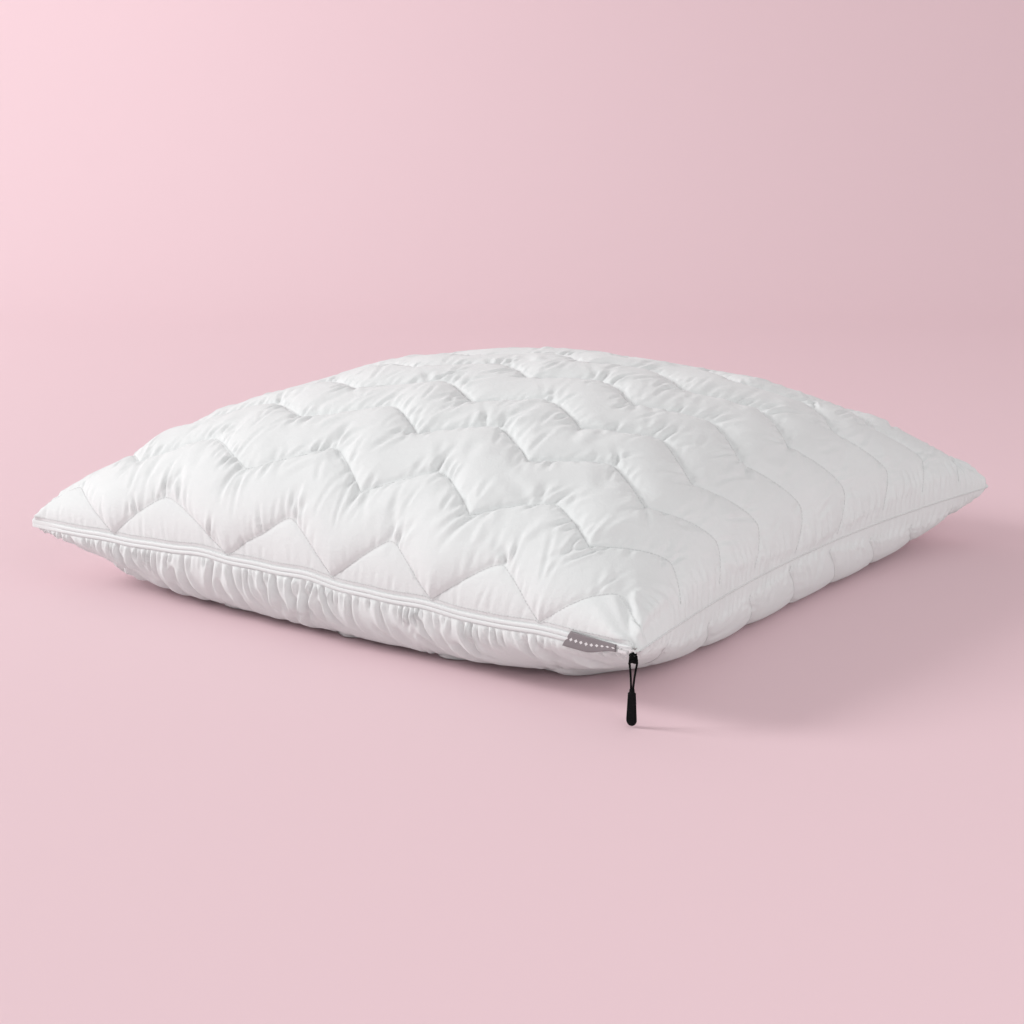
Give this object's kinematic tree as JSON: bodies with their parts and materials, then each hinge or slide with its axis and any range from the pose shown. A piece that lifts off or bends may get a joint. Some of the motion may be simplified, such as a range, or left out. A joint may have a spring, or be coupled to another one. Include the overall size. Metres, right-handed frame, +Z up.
{
  "type": "bed pillow",
  "caption": "Large square bed pillow: a quilted cloth cover with a zip along one side, over a fibre-filled inner bag, lying flat.",
  "frame": {"origin": "middle of the pillow's flat resting face, on the bed", "axes": "+X along the zip towards the corner where it closes, -Y towards the zip side, +Z up"},
  "size_m": [0.721, 0.7267, 0.2117],
  "materials": {
    "cover_cloth": "fine matt weave, soft white",
    "wadding": "bonded fibre sheet",
    "backing_cloth": "thin non-woven cloth",
    "ticking": "close plain weave",
    "fibre": "loose polyester fibre",
    "zip_tape": "woven tape",
    "zip_coil": "nylon coil",
    "zip_metal": "enamelled white",
    "thread": "spun polyester thread",
    "label_satin": "woven satin",
    "slider_paint": "enamelled white, satin",
    "black_cord": "braided cord",
    "grip_plastic": "soft moulded plastic"
  },
  "bodies": {
    "pillow": {"top_face_fabric": "cover_cloth", "bottom_face_fabric": "cover_cloth", "top_wadding": "wadding", "bottom_wadding": "wadding", "top_backing": "backing_cloth", "bottom_backing": "backing_cloth", "inner_bag_upper": "ticking", "inner_bag_lower": "ticking", "fibre_fill": "fibre", "zip_tape_upper": "zip_tape", "zip_tape_lower": "zip_tape", "zip_coil_upper": "zip_coil", "zip_coil_lower": "zip_coil", "zip_end_stop": "zip_metal", "zip_top_stops": "zip_metal", "seam_thread_right": "thread", "seam_thread_left": "thread", "seam_thread_back": "thread", "side_label": "label_satin"},
    "slider": {"slider_body": "slider_paint", "slider_bridge": "slider_paint"},
    "tab": {"pull_tab": "slider_paint"},
    "puller": {"pull_cord": "black_cord", "cord_hitch": "black_cord", "pull_grip": "grip_plastic"}
  },
  "joints": [
    {"name": "zip_slide", "type": "slide", "parent": "pillow", "child": "slider", "axis": [-1, 0, 0], "range_m": [0, 0.68]},
    {"name": "tab_flip", "type": "hinge", "parent": "slider", "child": "tab", "pos_m": [0.3475, -0.3638, 0.06], "axis": [0, 0, -1], "range_deg": [0, 165]},
    {"name": "puller_swing", "type": "hinge", "parent": "tab", "child": "puller", "pos_m": [0.3565, -0.3638, 0.06], "axis": [0, -1, 0], "range_deg": [-26, 90]}
  ]
}
